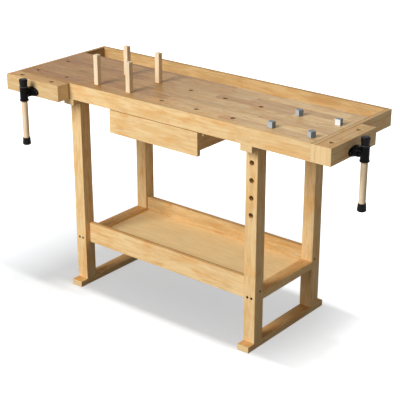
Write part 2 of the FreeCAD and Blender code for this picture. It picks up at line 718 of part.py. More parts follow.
def shelf_rail(row):
    """The front or back rail of the shelf, between the trestles."""
    y_span = (SHELF_RAIL_FRONT, SHELF_RAIL_BACK)
    if row == "back":
        y_span = (BENCH_DEPTH - SHELF_RAIL_BACK, BENCH_DEPTH - SHELF_RAIL_FRONT)
    z_span = (SHELF_RAIL_BOTTOM, SHELF_RAIL_BOTTOM + SHELF_RAIL_HEIGHT)
    rail = block((-LEG_INNER, LEG_INNER), y_span, z_span, TIMBER_EASING)
    depth = BARREL_NUT_RECESS + BARREL_NUT_LENGTH
    nut_holes = [
        rod(mouth - inward * OVERRUN, inward, BARREL_NUT_RADIUS, depth + OVERRUN)
        for mouth, inward in barrel_nut_places()
    ]
    return rail.cut(nut_holes + passages(shelf_rail_bolts()))


def shelf_panel():
    """The thin panel of the shelf, lying on cleats along its rails."""
    y_span = (SHELF_RAIL_BACK, BENCH_DEPTH - SHELF_RAIL_BACK)
    return block((-LEG_INNER, LEG_INNER), y_span, (SHELF_PANEL_BOTTOM, SHELF_PANEL_TOP), BOARD_EASING)


def shelf_cleats():
    """Strips along the inside of the shelf rails that carry the panel."""
    front = (SHELF_RAIL_BACK, SHELF_RAIL_BACK + CLEAT_DEPTH)
    back = (BENCH_DEPTH - front[1], BENCH_DEPTH - front[0])
    z_span = (SHELF_RAIL_BOTTOM, SHELF_PANEL_BOTTOM)
    x_span = (-LEG_INNER, LEG_INNER)
    return Part.makeCompound([block(x_span, y_span, z_span, BOARD_EASING) for y_span in (front, back)])


# Drawer


def drawer_floor_block(clearance):
    """The space of the drawer's bottom panel in its grooves, grown by a clearance."""
    half = DRAWER_HALF - DRAWER_SIDE_THICKNESS + DRAWER_GROOVE_DEPTH
    front = DRAWER_FRONT_THICKNESS - DRAWER_GROOVE_DEPTH
    return plain_block(
        (-half - clearance, half + clearance),
        (front - clearance, DRAWER_BACK_END + clearance),
        (DRAWER_FLOOR_BOTTOM - clearance, DRAWER_FLOOR_TOP + clearance),
    )


def drawer_front():
    """The drawer's face, level with the apron."""
    top = APRON_BOTTOM - DRAWER_FRONT_GAP
    z_span = (top - DRAWER_FRONT_HEIGHT, top)
    face = block((-DRAWER_HALF, DRAWER_HALF), (0, DRAWER_FRONT_THICKNESS), z_span, TIMBER_EASING)
    return face.cut(drawer_floor_block(SLIDE_CLEARANCE))


def drawer_side(side):
    """One side of the drawer, grooved for its bottom."""
    x_span = mirrored_span(side, DRAWER_HALF - DRAWER_SIDE_THICKNESS, DRAWER_HALF)
    y_span = (DRAWER_FRONT_THICKNESS, DRAWER_BACK_END)
    board = block(x_span, y_span, (DRAWER_SIDE_BOTTOM, DRAWER_SIDE_TOP), BOARD_EASING)
    return board.cut(drawer_floor_block(SLIDE_CLEARANCE))


def drawer_back():
    """The back of the drawer, between its sides and above its bottom."""
    half = DRAWER_HALF - DRAWER_SIDE_THICKNESS
    y_span = (DRAWER_BACK_END - DRAWER_SIDE_THICKNESS, DRAWER_BACK_END)
    return block((-half, half), y_span, (DRAWER_FLOOR_TOP, DRAWER_SIDE_TOP), BOARD_EASING)


def drawer_bottom():
    """The thin bottom panel."""
    return eased(drawer_floor_block(0), BOARD_EASING, DRAWER_BOTTOM_THICKNESS)


def drawer_strips():
    """Strips on the outside of the drawer that ride in the runners' grooves."""
    y_span = (DRAWER_FRONT_THICKNESS + STRIP_START, DRAWER_BACK_END)
    z_span = (STRIP_BOTTOM, STRIP_BOTTOM + STRIP_HEIGHT)
    return Part.makeCompound(
        [
            block(mirrored_span(side, DRAWER_HALF, DRAWER_HALF + STRIP_WIDTH), y_span, z_span, BOARD_EASING)
            for side in SIDES.values()
        ]
    )


def drawer_runner(side):
    """A grooved strip under the slab beside the drawer."""
    inner = DRAWER_HALF + RUNNER_GAP
    x_span = mirrored_span(side, inner, inner + RUNNER_THICKNESS)
    runner = block(x_span, (APRON_THICKNESS, TRAY_RAIL_FRONT), (RUNNER_BOTTOM, SLAB_BOTTOM), BOARD_EASING)
    groove = plain_block(
        mirrored_span(side, inner - OVERRUN, DRAWER_HALF + STRIP_WIDTH + SLIDE_CLEARANCE),
        (APRON_THICKNESS - OVERRUN, TRAY_RAIL_FRONT + OVERRUN),
        (STRIP_BOTTOM - SLIDE_CLEARANCE, STRIP_BOTTOM + STRIP_HEIGHT + SLIDE_CLEARANCE),
    )
    return runner.cut(groove)


# Pegs and dogs


def standing_piece(column, row, width, height, turn):
    """A square head on the slab with a round shank in a dog hole."""
    half = width / 2
    head = block((-half, half), (-half, half), (0, height), TIMBER_EASING)
    head.rotate(Vector(), UP, turn)
    shank = rod(Vector(), DOWN, SHANK_RADIUS, SHANK_LENGTH)
    piece = head.fuse(shank).removeSplitter()
    piece.translate(Vector(hole_column(column), HOLE_ROWS[row], BENCH_HEIGHT))
    return piece


def standing_nodes():
    """Four wooden pegs on the left and four steel dogs on the right."""
    nodes = {}
    for row in HOLE_ROWS:
        for column, place in zip(PEG_COLUMNS, SIDES):
            nodes[f"peg_{row}_{place}"] = standing_piece(column, row, PEG_WIDTH, PEG_HEIGHT, 0)
    turns = iter(DOG_TURNS_DEGREES)
    for row in HOLE_ROWS:
        for column, place in zip(DOG_COLUMNS, SIDES):
            nodes[f"dog_{row}_{place}"] = standing_piece(column, row, DOG_WIDTH, DOG_HEIGHT, next(turns))
    return nodes


# The whole bench


def trestle_nodes():
    """Both trestles."""
    nodes = {}
    for name, side in SIDES.items():
        nodes[f"{name}_foot"] = foot(side)
        nodes[f"{name}_head_rail"] = head_rail(side)
        nodes[f"{name}_side_rail"] = side_rail(side)
        for row in LEG_ROWS:
            nodes[f"{name}_{row}_leg"] = leg(side, row)
    return nodes


def top_nodes():
    """The bench top, the tool tray and what is fixed under the slab."""
    nut_blocks = [carry(vise_nut_block()) for carry in (to_front_vise, to_end_vise)]
    screws = [carry(screw) for carry in (to_front_vise, to_end_vise) for screw in seated(nut_screws())]
    return {
        "top_slab": top_slab(),
        "front_apron": front_apron(),
        "left_end_cap": end_cap_board(SIDES["left"]),
        "right_end_cap": end_cap_board(SIDES["right"]),
        "back_board": back_board(),
        "tray_front_rail": tray_front_rail(),
        "tray_floor": tray_floor(),
        "slab_bearers": slab_bearers(),
        "vise_nut_blocks": Part.makeCompound(nut_blocks),
        "nut_block_screws": Part.makeCompound(screws),
    }


def shelf_nodes():
    """The shelf between the trestles."""
    return {
        "shelf_front_rail": shelf_rail("front"),
        "shelf_back_rail": shelf_rail("back"),
        "shelf_panel": shelf_panel(),
        "shelf_cleats": shelf_cleats(),
        "barrel_nuts": barrel_nuts(),
    }


def drawer_nodes():
    """The drawer and the runners that it hangs on."""
    nodes = {
        "drawer_front": drawer_front(),
        "drawer_back": drawer_back(),
        "drawer_bottom": drawer_bottom(),
        "drawer_strips": drawer_strips(),
    }
    for name, side in SIDES.items():
        nodes[f"drawer_{name}_side"] = drawer_side(side)
        nodes[f"{name}_drawer_runner"] = drawer_runner(side)
    return nodes


def bolt_nodes():
    """The frame's bolts, one group for each place that they are used."""
    return {
        "side_rail_bolts": Part.makeCompound(seated(side_rail_bolts())),
        "shelf_rail_bolts": Part.makeCompound(seated(shelf_rail_bolts())),
        "top_bolts": Part.makeCompound(seated(top_bolts())),
    }


def bench_nodes():
    """Every piece of the bench by name."""
    return {
        **top_nodes(),
        **trestle_nodes(),
        **shelf_nodes(),
        **drawer_nodes(),
        **bolt_nodes(),
        **vise_nodes("front", to_front_vise, FRONT_JAW_LENGTH, jaw_hole_offsets_front()),
        **vise_nodes("end", to_end_vise, END_JAW_LENGTH, jaw_hole_offsets_end()),
        **standing_nodes(),
    }


def main():
    os.makedirs("parts", exist_ok=True)
    for name, shape in bench_nodes().items():
        placed = shape.copy()
        placed.translate(Vector(-OUTLINE_MIDDLE_X, -OUTLINE_MIDDLE_Y, 0))
        placed.exportStep(f"parts/{name}.step")


if __name__ == "__main__":
    main()
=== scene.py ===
import math
from collections import namedtuple

import bmesh
import bpy
from mathutils import Matrix, Vector


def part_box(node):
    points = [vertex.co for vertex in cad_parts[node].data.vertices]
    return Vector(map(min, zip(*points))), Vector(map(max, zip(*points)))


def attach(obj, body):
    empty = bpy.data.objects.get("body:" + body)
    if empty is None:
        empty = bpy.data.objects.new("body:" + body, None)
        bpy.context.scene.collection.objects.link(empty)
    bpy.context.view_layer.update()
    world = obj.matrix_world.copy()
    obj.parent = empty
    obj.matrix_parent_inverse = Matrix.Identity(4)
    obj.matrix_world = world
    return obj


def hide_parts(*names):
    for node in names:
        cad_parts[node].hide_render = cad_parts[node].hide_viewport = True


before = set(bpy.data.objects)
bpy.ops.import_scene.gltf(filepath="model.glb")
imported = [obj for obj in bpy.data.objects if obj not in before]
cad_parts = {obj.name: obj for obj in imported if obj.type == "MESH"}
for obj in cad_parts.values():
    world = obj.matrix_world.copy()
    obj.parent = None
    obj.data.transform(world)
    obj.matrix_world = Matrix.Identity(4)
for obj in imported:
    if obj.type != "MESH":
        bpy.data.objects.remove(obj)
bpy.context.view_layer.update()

# A joiner's workbench of pale wood
# Materials for the carried-over pieces, threads and small screws, and a studio.
# Metres, +X to the right, +Y to the back, +Z up.

# Camera, at the photograph's viewing angle
CAMERA_PLACE = (2.4408, -2.9861, 2.0252)
CAMERA_YAW = math.radians(39.104)
CAMERA_PITCH = math.radians(-22.346)
CAMERA_LENS_MM = 99.92
CAMERA_SENSOR_MM = 36.0

# Studio
WHITE = (1.0, 1.0, 1.0, 1.0)
FLOOR_HALF = 30.0
FLOOR_COLOR = (0.79, 0.80, 0.81, 1.0)
FLOOR_BOUNCE_COLOR = (0.31, 0.30, 0.28, 1.0)
FLOOR_GLOW = 0.475
# Painted shade colour: the floor's glow is cooler near the bench so that its shadow reads neutral grey, and
# away from a middle point it rises to full white, a painted fade of the shadow's outer parts.
FLOOR_SHADOW_COOLING_COLOR = (0.96, 1.0, 1.04, 1.0)
FLOOR_SHADOW_FADE_MIDDLE = (-0.30, 0.10, 0.0)
FLOOR_SHADOW_FADE_FROM = 0.65
FLOOR_SHADOW_FADE_TO = 1.10
SKY_FILL = 0.26
SKY_TINT = (1.0, 0.95, 0.90, 1.0)
KEY_PLACE = (-1.0, -4.5, 3.8)
KEY_SIZE = (2.2, 3.0)
KEY_WATTS = 283.0
FRONT_LAMP_PLACE = (-1.7, -4.6, 0.75)
FRONT_LAMP_SIZE = (1.6, 1.2)
FRONT_LAMP_WATTS = 26.0
FLOOR_LAMP_PLACE = (0.0, -0.2, 20.0)
FLOOR_LAMP_SIZE = (7.0, 1.0)
FLOOR_LAMP_WATTS = 1950.0
LIGHT_AIM = (0.0, 0.0, 0.55)

# Wood colours, as light wood, dark wood and reddish streaks
BENCH_LIGHT = (0.87, 0.635, 0.335)
BENCH_DARK = (0.78, 0.52, 0.24)
BENCH_STREAK = (0.62, 0.345, 0.14)
SLAB_LIGHT = (0.96, 0.72, 0.395)
SLAB_DARK = (0.82, 0.55, 0.26)
SLAB_STREAK = (0.62, 0.35, 0.16)
PALE_LIGHT = (0.92, 0.76, 0.545)
PALE_DARK = (0.85, 0.66, 0.43)
PALE_STREAK = (0.70, 0.48, 0.27)
# Back pieces: a darker copy of the bench wood, painted shade for the back of the bench.
SHADED_BACK_LIGHT = (0.78, 0.55, 0.27)
SHADED_BACK_DARK = (0.65, 0.43, 0.19)
PLY_LIGHT = (0.95, 0.715, 0.375)
PLY_DARK = (0.90, 0.65, 0.325)
PLY_STREAK = (0.84, 0.57, 0.26)

# Tints that multiply a wood's colour: upper sides darkened, partly as wear and partly as painted shade for
# tops that get less light than fronts, reddish patches and redder staves
TOP_WEAR_AND_SHADE_TINT = (0.84, 0.69, 0.51)
SLAB_TOP_WEAR_AND_SHADE_TINT = (0.55, 0.415, 0.275)
APRON_TOP_WEAR_AND_SHADE_TINT = (0.77, 0.66, 0.55)
BLUSH_TINT = (0.96, 0.83, 0.68)
RED_STAVE_TINT = (0.90, 0.77, 0.75)

# Looks of the woods
# tone is how far staves differ, red how much redder some of them are, flame how strong the streaks are,
# blush how strong the reddish patches are, and used how far upper sides take the darker tint, partly wear and
# partly painted shade.
Look = namedtuple("Look", "light dark streak tone red flame blush roughness shine used tint")
TOP_WOOD = Look(
    SLAB_LIGHT, SLAB_DARK, SLAB_STREAK,
    tone=0.18, red=0.70, flame=0.65, blush=1.0, roughness=0.24, shine=0.10, used=1.0, tint=SLAB_TOP_WEAR_AND_SHADE_TINT,
)
FRAME_WOOD = Look(
    BENCH_LIGHT, BENCH_DARK, BENCH_STREAK,
    tone=0.06, red=0.0, flame=0.34, blush=0.9, roughness=0.42, shine=0.06, used=0.85, tint=TOP_WEAR_AND_SHADE_TINT,
)
APRON_WOOD = FRAME_WOOD._replace(roughness=0.34, shine=0.10, used=1.0, tint=APRON_TOP_WEAR_AND_SHADE_TINT)
FRONT_WOOD = APRON_WOOD._replace(tint=SLAB_TOP_WEAR_AND_SHADE_TINT)
END_WOOD = APRON_WOOD._replace(used=0.6)
# The back rails' wood is a darker copy of the frame wood as painted shade.
SHADED_BACK_WOOD = FRAME_WOOD._replace(light=SHADED_BACK_LIGHT, dark=SHADED_BACK_DARK)
PALE_WOOD = Look(
    PALE_LIGHT, PALE_DARK, PALE_STREAK,
    tone=0.05, red=0.0, flame=0.30, blush=0.3, roughness=0.46, shine=0.06, used=0.0, tint=TOP_WEAR_AND_SHADE_TINT,
)
PLYWOOD = Look(
    PLY_LIGHT, PLY_DARK, PLY_STREAK,
    tone=0.0, red=0.0, flame=0.25, blush=0.3, roughness=0.44, shine=0.06, used=0.0, tint=TOP_WEAR_AND_SHADE_TINT,
)

# How much detail a noise has
SOFT_DETAIL = 1.0
PLAIN_DETAIL = 2.0
FINE_DETAIL = 3.0
RICH_DETAIL = 4.0

# Staves and their blocks
# WHOLE_BOARD is wider than any board, which makes the board a single stave.
STAVE_WIDTH = 0.045
WHOLE_BOARD = 1.0
BLOCK_LENGTH_SHARE = 7.5
BLOCK_JOG = 3.0
BLOCK_SHIFT = 9.0
FINGER_PITCH = 0.007
FINGER_DEPTH = 0.009
GLUE_LINE = 0.0004

# Wood figure
# Scales are of noise along and across the grain. Mark shares say at what noise a mark begins and is full.
FIBRE_SCALES = (9.0, 520.0)
RING_SCALES = (2.5, 34.0)
RING_DISTORTION = 0.6
RING_COUNT = 9.0
MOTTLE_SCALES = (16.0, 80.0)
PORE_SCALES = (70.0, 1500.0)
PORE_MARK_SHARES = (0.62, 0.72)
STREAK_SCALES = (18.0, 75.0)
STREAK_MARK_SHARES = (0.54, 0.72)
FLECK_SCALES = (26.0, 110.0)
FLECK_MARK_SHARES = (0.62, 0.76)
BLUSH_SCALES = (9.0, 26.0)
BLUSH_MARK_SHARES = (0.48, 0.70)
END_LINE_SCALES = (190.0, 190.0, 9.0)
BLOTCH_SCALE = 5.0

# How strongly each part of the figure shows, as shares
FIBRE_SHARE = 0.35
BAND_SHARE = 0.22
MOTTLE_SHARE = 0.55
FIGURE_RANGE_SHARES = (0.42, 0.70)
PORE_SHARE = 0.20
END_GRAIN_SHARE = 0.75
END_LINE_SHARES = (0.84, 1.10)
BLOTCH_SHARES = (0.93, 1.07)
LIGHTER_STAVE_SHARE = 1 / 3
RED_STAVE_SHARES = (0.15, 0.27)
GLUE_SHARES = (1.0, 0.80)
EDGE_HIGHLIGHT_SHARE = 0.25
SEAM_SHADE_SHARES = (1.0, 0.42)
LOW_END_SPAN_SHARES = (0.15, 0.95)

# Between which parts of its unit normal a face turns into end grain, edge, top or hole wall
END_FACING_SHARES = (0.75, 0.97)
EDGE_FACING_SHARES = (0.90, 0.995)
TOP_FACING_SHARES = (0.5, 0.9)
BORE_FACING_SHARES = (0.2, 0.6)

# Wood surface
WOOD_BUMP = 0.00025
PORE_DEPTH_SHARE = 0.6
FIBRE_HEIGHT_SHARE = 0.5
GLUE_DEPTH_SHARE = 0.5
FIBRE_ROUGHNESS = 0.14
BLOTCH_ROUGHNESS = 0.10
END_GRAIN_ROUGHNESS = 0.12

# The low (0) or high (1) side of a board that is painted dark at a joint or corner as painted shade, and how
# wide the dark is
JAW_SEAM_WIDTH = 0.014
SHELF_SEAM_WIDTH = 0.011
RIGHT_SEAM_WIDTH = 0.005
LEFT_SEAM_WIDTH = 0.004
Seam = namedtuple("Seam", "axis side width on_top_only")
SEAM_SHADES = {
    "front_vise_jaw": Seam("Y", 1, JAW_SEAM_WIDTH, on_top_only=False),
    "end_vise_jaw": Seam("X", 0, RIGHT_SEAM_WIDTH, on_top_only=True),
    "left_end_cap": Seam("X", 1, LEFT_SEAM_WIDTH, on_top_only=False),
    "right_end_cap": Seam("X", 0, RIGHT_SEAM_WIDTH, on_top_only=True),
    "shelf_front_rail": Seam("Y", 1, SHELF_SEAM_WIDTH, on_top_only=True),
}

# Boards with peg holes, whose walls are painted dark as painted shade in the holes: the holes' axis, and the
# share of colour left there
# BORE_INSET is how far inside the board's outline a hole wall is fully dark.
BORE_INSET = 0.006
Bore = namedtuple("Bore", "axis color_share")
SHADED_BORES = {
    "top_slab": Bore("Z", color_share=0.38),
    "front_vise_jaw": Bore("Z", color_share=0.25),
    "end_vise_jaw": Bore("Z", color_share=0.55),
    "right_front_leg": Bore("Y", color_share=0.72),
}

# Boards whose top is darker towards their low end
DARKER_AT_LOW_END = ("top_slab", "front_apron")

# Which way a board's grain runs, then its staves, then the third direction
ALONG_X = ("X", "Z", "Y")
ALONG_Y = ("Y", "Z", "X")
ALONG_Z = ("Z", "X", "Y")
SLAB_WAY = ("X", "Y", "Z")
CROSS_WAY = ("Y", "X", "Z")

# Black powder coat
COAT_BLACK = (0.0025, 0.0025, 0.0026, 1.0)
COAT_RUBBED = (0.007, 0.007, 0.0075, 1.0)
COAT_RIM_HIGHLIGHT = (0.11, 0.11, 0.105, 1.0)
COAT_RIM_HIGHLIGHT_WIDTH = 0.0022
COAT_PEBBLE_SCALE = 900.0
COAT_RUB_SCALE = 70.0
COAT_RUB_MARK_SHARES = (0.55, 0.75)
COAT_SHEEN_SCALE = 45.0
COAT_ROUGHNESS = (0.22, 0.38)
COAT_SHINE = 0.06
COAT_BUMP = 0.00012

# Rubber
RUBBER_BLACK = (0.005, 0.005, 0.0057, 1.0)
RUBBER_DUST = (0.011, 0.011, 0.0117, 1.0)
RUBBER_SKIN_SCALE = 1600.0
RUBBER_DUST_SCALE = 60.0
RUBBER_DUST_MARK_SHARES = (0.5, 0.8)
RUBBER_ROUGHNESS = (0.42, 0.62)
RUBBER_SHINE = 0.10
RUBBER_BUMP = 0.00008

# Turned steel. Tool marks have noise scales for X, Y and Z.
STEEL_TINT = (0.32, 0.32, 0.33)
STEEL_ROUGHNESS = (0.22, 0.34)
STEEL_BUMP = 0.00003
BOLT_TINT = (0.045, 0.036, 0.028)
BOLT_ROUGHNESS = (0.32, 0.46)
MARKS_ALL_WAYS = (800.0, 800.0, 800.0)
MARKS_ALONG_X = (30.0, 900.0, 900.0)
MARKS_ALONG_Y = (900.0, 30.0, 900.0)
MARKS_ALONG_Z = (900.0, 900.0, 40.0)
MARK_ROUGHNESS = 0.10
TARNISH_SCALE = 55.0
TARNISH_SHARES = (0.82, 1.08)

# Zinc plate
ZINC_GREY = (0.25, 0.30, 0.34, 1.0)
# Front faces' colours: painted reflections of the bright studio in front.
NUT_FRONT_REFLECTION = (0.62, 0.62, 0.60, 1.0)
DOG_FRONT_REFLECTION = (0.45, 0.49, 0.52, 1.0)
DOG_WHITE_REFLECTION = (0.87, 0.92, 0.97, 1.0)
REFLECTING_DOG = "dog_back_right"
ZINC_FACING_SHARES = (0.7, 0.95)
ZINC_PATCH_SCALE = 80.0
ZINC_PATCH_SHARES = (0.92, 1.05)
ZINC_ROUGHNESS = (0.30, 0.42)
ZINC_MARK_ROUGHNESS = 0.12
ZINC_METAL = 0.05
ZINC_SHINE = 0.08

# Cast iron
IRON_GREY = (0.085, 0.085, 0.09, 1.0)
IRON_RUST = (0.14, 0.075, 0.045, 1.0)
IRON_SAND_SCALE = 650.0
IRON_RUST_SCALE = 40.0
IRON_RUST_MARK_SHARES = (0.58, 0.80)
IRON_RUST_SHARE = 0.35
IRON_ROUGHNESS = (0.48, 0.70)
IRON_METAL = 0.6
IRON_BUMP = 0.0003

# Vise screw thread
THREAD_LEAD = 0.005
THREAD_DEPTH = 0.0022
THREAD_RINGS = 16
THREAD_CREST_SHARE = 0.30
THREAD_ROOT_SHARE = 0.62
THREAD_START_GAP = 0.004
THREAD_END_GAP = 0.006
ROUND_STEPS = 48
TIP_BEVEL = 0.0012
SHARP_ANGLE = math.radians(35)

# Screws on the wings of the vise flanges
FLANGE_SCREW_HALF_SPACING = 0.027
FLANGE_SCREW_RADIUS = 0.0045
FLANGE_SCREW_DOME = 0.0022
FLANGE_SCREW_SEAT = 0.004
FLANGE_SLOT_HALF_WIDTH = 0.0006
FLANGE_SLOT_HALF_LENGTH = 0.0026
FLANGE_SLOT_DEPTH = 0.0012
HEAD_CELLS = 44
HEAD_DOME_POWER = 3
HEAD_UNDERSIDE_SHARE = 0.25

# Words that the pieces' names are made of
SIDES = ("left", "right")
ROWS = ("front", "back")
VISES = ("front", "end")

# Directions
AXES = "XYZ"
UP = Vector((0, 0, 1))

# Sockets of the mix node, by number because their names repeat
MIX_SHARE = 0
MIX_FIRST_COLOR = 6
MIX_SECOND_COLOR = 7
MIX_RESULT_COLOR = 2


class Graph:
    """The shader nodes of a material or a world. Each drawing method returns an output socket."""

    def __init__(self, owner):
        owner.use_nodes = True
        self.owner = owner
        self.nodes = owner.node_tree.nodes
        self.links = owner.node_tree.links
        self.nodes.clear()

    def add(self, kind, inputs, **settings):
        node = self.nodes.new(kind)
        for name, value in settings.items():
            setattr(node, name, value)
        for key, value in inputs.items():
            self.feed(node.inputs[key], value)
        return node

    def feed(self, socket, value):
        if isinstance(value, bpy.types.NodeSocket):
            self.links.new(value, socket)
        else:
            socket.default_value = value

    def math(self, operation, *values):
        return self.add("ShaderNodeMath", dict(enumerate(values)), operation=operation).outputs[0]

    def times(self, first, second):
        return self.math("MULTIPLY", first, second)

    def plus_share(self, start, value, share):
        """A start with a share of a value added."""
        return self.math("MULTIPLY_ADD", value, share, start)

    def vector(self, operation, *values):
        return self.add("ShaderNodeVectorMath", dict(enumerate(values)), operation=operation).outputs[0]

    def combine(self, *values):
        return self.add("ShaderNodeCombineXYZ", dict(enumerate(values))).outputs[0]

    def separate(self, place):
        return self.add("ShaderNodeSeparateXYZ", {0: place}).outputs

    def ease(self, value, low, high, start=0.0, end=1.0):
        """A smooth step from start to end as value goes from low to high."""
        inputs = {"Value": value, "From Min": low, "From Max": high, "To Min": start, "To Max": end}
        return self.add("ShaderNodeMapRange", inputs, interpolation_type="SMOOTHSTEP").outputs[0]

    def fade(self, value, low, high):
        """A smooth step from one to zero as value goes from low to high."""
        return self.ease(value, low, high, 1.0, 0.0)

    def spread(self, value, start, end):
        """A value from 0 to 1 spread evenly from start to end."""
        return self.add("ShaderNodeMapRange", {"Value": value, "To Min": start, "To Max": end}).outputs[0]

    def mix(self, share, first, second):
        inputs = {MIX_SHARE: share, MIX_FIRST_COLOR: first, MIX_SECOND_COLOR: second}
        return self.add("ShaderNodeMix", inputs, data_type="RGBA").outputs[MIX_RESULT_COLOR]

    def tinted(self, share, color, tint):
        """A colour that takes a tint by a share."""
        return self.mix(share, color, self.vector("MULTIPLY", color, tint))

    def scaled(self, color, share):
        node = self.add("ShaderNodeVectorMath", {0: color, "Scale": share}, operation="SCALE")
        return node.outputs[0]

    def varied(self, color, value, shares):
        """A colour scaled from the first share to the second as a value goes from 0 to 1."""
        return self.scaled(color, self.spread(value, *shares))

    def noise(self, place, scale=1.0, detail=PLAIN_DETAIL, distortion=0.0):
        inputs = {"Vector": place, "Scale": scale, "Detail": detail, "Distortion": distortion}
        return self.add("ShaderNodeTexNoise", inputs).outputs[0]

    def random(self, place):
        """A random value and a random colour for each whole-number place."""
        outputs = self.add("ShaderNodeTexWhiteNoise", {"Vector": place}).outputs
        return outputs["Value"], outputs["Color"]

    def object_place(self):
        return self.add("ShaderNodeTexCoord", {}).outputs["Object"]

    def object_normal(self):
        return self.add("ShaderNodeTexCoord", {}).outputs["Normal"]

    def bump(self, height, depth):
        return self.add("ShaderNodeBump", {"Height": height, "Distance": depth, "Strength": 1.0}).outputs[0]

    def finish(self, **inputs):
        """Close the graph with a surface shader whose inputs are named by words joined with underscores."""
        named = {name.replace("_", " "): value for name, value in inputs.items()}
        shader = self.add("ShaderNodeBsdfPrincipled", named)
        self.add("ShaderNodeOutputMaterial", {"Surface": shader.outputs[0]})
        return self.owner


def material_graph(name):
    return Graph(bpy.data.materials.new(name))


def opaque(color):
    return (*color, 1.0)


# Wood


def board_place(graph, low, axes):
    """Distances along, across and through the grain, measured from the board's own corner."""
    local = graph.separate(graph.vector("SUBTRACT", graph.object_place(), tuple(low)))
    return [local[axis] for axis in axes]


def line_distance(graph, count, spacing):
    """How far a point is from the nearest line, where lines lie at whole numbers of a count."""
    return graph.times(graph.math("PINGPONG", count, 1 / 2), spacing)


Blocks = namedtuple("Blocks", "tone color glue")


def stave_blocks(graph, along, across, stave_width, seed):
    """A random tone, a random colour and the glue lines of finger-jointed blocks glued edge to edge."""
    rows = graph.math("DIVIDE", across, stave_width)
    row = graph.math("FLOOR", rows)
    jog, _ = graph.random(graph.combine(row, seed, 0.0))
    finger = graph.math("PINGPONG", across, FINGER_PITCH / 2)
    fingered = graph.plus_share(along, finger, 2 * FINGER_DEPTH / FINGER_PITCH)
    block_length = stave_width * BLOCK_LENGTH_SHARE
    lengths = graph.plus_share(graph.math("DIVIDE", fingered, block_length), jog, BLOCK_JOG)
    tone, color = graph.random(graph.combine(row, graph.math("FLOOR", lengths), seed))
    row_gap = line_distance(graph, rows, stave_width)
    block_gap = line_distance(graph, lengths, block_length)
    glue = graph.fade(graph.math("MINIMUM", row_gap, block_gap), 0.0, GLUE_LINE)
    return Blocks(tone, color, glue)


def stretched(graph, place, scales):
    """The place along, across and through, stretched for figure that runs with the grain."""
    along, across, through = place
    with_grain, cross_grain = scales
    return graph.combine(
        graph.times(along, with_grain), graph.times(across, cross_grain), graph.times(through, cross_grain)
    )


Facing = namedtuple("Facing", "end_grain edge upward")


def normal_shares(graph, grain_axis):
    """How far a face is end grain, a rounded edge or an upper side, from the way that it faces."""
    parts = graph.separate(graph.object_normal())
    sides = {axis: graph.math("ABSOLUTE", parts[axis]) for axis in AXES}
    largest = graph.math("MAXIMUM", graph.math("MAXIMUM", sides["X"], sides["Y"]), sides["Z"])
    end_grain = graph.ease(sides[grain_axis], *END_FACING_SHARES)
    edge = graph.fade(largest, *EDGE_FACING_SHARES)
    upward = graph.ease(parts["Z"], *TOP_FACING_SHARES)
    return Facing(end_grain, edge, upward)


def seam_shade_share(graph, seam, box, facing):
    """How near a point is to the side of a board that is painted dark as painted shade in a joint or a
    corner.
    """
    place = graph.separate(graph.object_place())[seam.axis]
    side = box[seam.side][AXES.index(seam.axis)]
    distance = graph.math("ABSOLUTE", graph.math("SUBTRACT", place, side))
    near = graph.fade(distance, 0.0, seam.width)
    return graph.times(near, facing.upward) if seam.on_top_only else near


def bore_shade_share(graph, box, hole_axis):
    """How far a point is on the wall of a hole that goes through a board along an axis."""
    place = graph.separate(graph.object_place())
    depths = []
    for index, axis in enumerate(AXES):
        if axis != hole_axis:
            from_low = graph.math("SUBTRACT", place[axis], box[0][index])
            from_high = graph.math("SUBTRACT", box[1][index], place[axis])
            depths.append(graph.math("MINIMUM", from_low, from_high))
    inside = graph.ease(graph.math("MINIMUM", *depths), 0.0, BORE_INSET)
    along_hole = graph.math("ABSOLUTE", graph.separate(graph.object_normal())[hole_axis])
    return graph.times(inside, graph.fade(along_hole, *BORE_FACING_SHARES))


def grain_marks(graph, place, scales, detail, mark_shares):
    """Marks that run with the grain, where a noise rises from the first share to the second."""
    return graph.ease(graph.noise(stretched(graph, place, scales), detail=detail), *mark_shares)


Figure = namedtuple("Figure", "fibre bands mottle pores streaks flecks blush")


def wood_figure(graph, place):
    """Fibres, broad rings, short mottle, pores, streaks, flecks and reddish patches, each from 0 to 1."""
    rings = graph.noise(stretched(graph, place, RING_SCALES), distortion=RING_DISTORTION)
    return Figure(
        fibre=graph.noise(stretched(graph, place, FIBRE_SCALES), detail=FINE_DETAIL),
        bands=graph.math("PINGPONG", graph.times(rings, RING_COUNT), 1.0),
        mottle=graph.noise(stretched(graph, place, MOTTLE_SCALES), detail=RICH_DETAIL),
        pores=grain_marks(graph, place, PORE_SCALES, SOFT_DETAIL, PORE_MARK_SHARES),
        streaks=grain_marks(graph, place, STREAK_SCALES, FINE_DETAIL, STREAK_MARK_SHARES),
        flecks=grain_marks(graph, place, FLECK_SCALES, SOFT_DETAIL, FLECK_MARK_SHARES),
        blush=grain_marks(graph, place, BLUSH_SCALES, FINE_DETAIL, BLUSH_MARK_SHARES),
    )


def grain_color(graph, figure, look):
    """Light and dark wood by the figure, with streaks, flecks, pores and reddish patches."""
    depth = graph.times(figure.fibre, FIBRE_SHARE)
    depth = graph.plus_share(depth, figure.bands, BAND_SHARE)
    depth = graph.plus_share(depth, figure.mottle, MOTTLE_SHARE)
    color = graph.mix(graph.ease(depth, *FIGURE_RANGE_SHARES), opaque(look.dark), opaque(look.light))
    marks = ((figure.streaks, look.flame), (figure.flecks, look.flame), (figure.pores, PORE_SHARE))
    for mark, share in marks:
        color = graph.mix(graph.times(mark, share), color, opaque(look.streak))
    return graph.tinted(graph.times(figure.blush, look.blush), color, BLUSH_TINT)


def end_grain_color(graph, look):
    place = graph.vector("MULTIPLY", graph.object_place(), END_LINE_SCALES)
    return graph.varied(look.light, graph.noise(place, detail=FINE_DETAIL), END_LINE_SHARES)


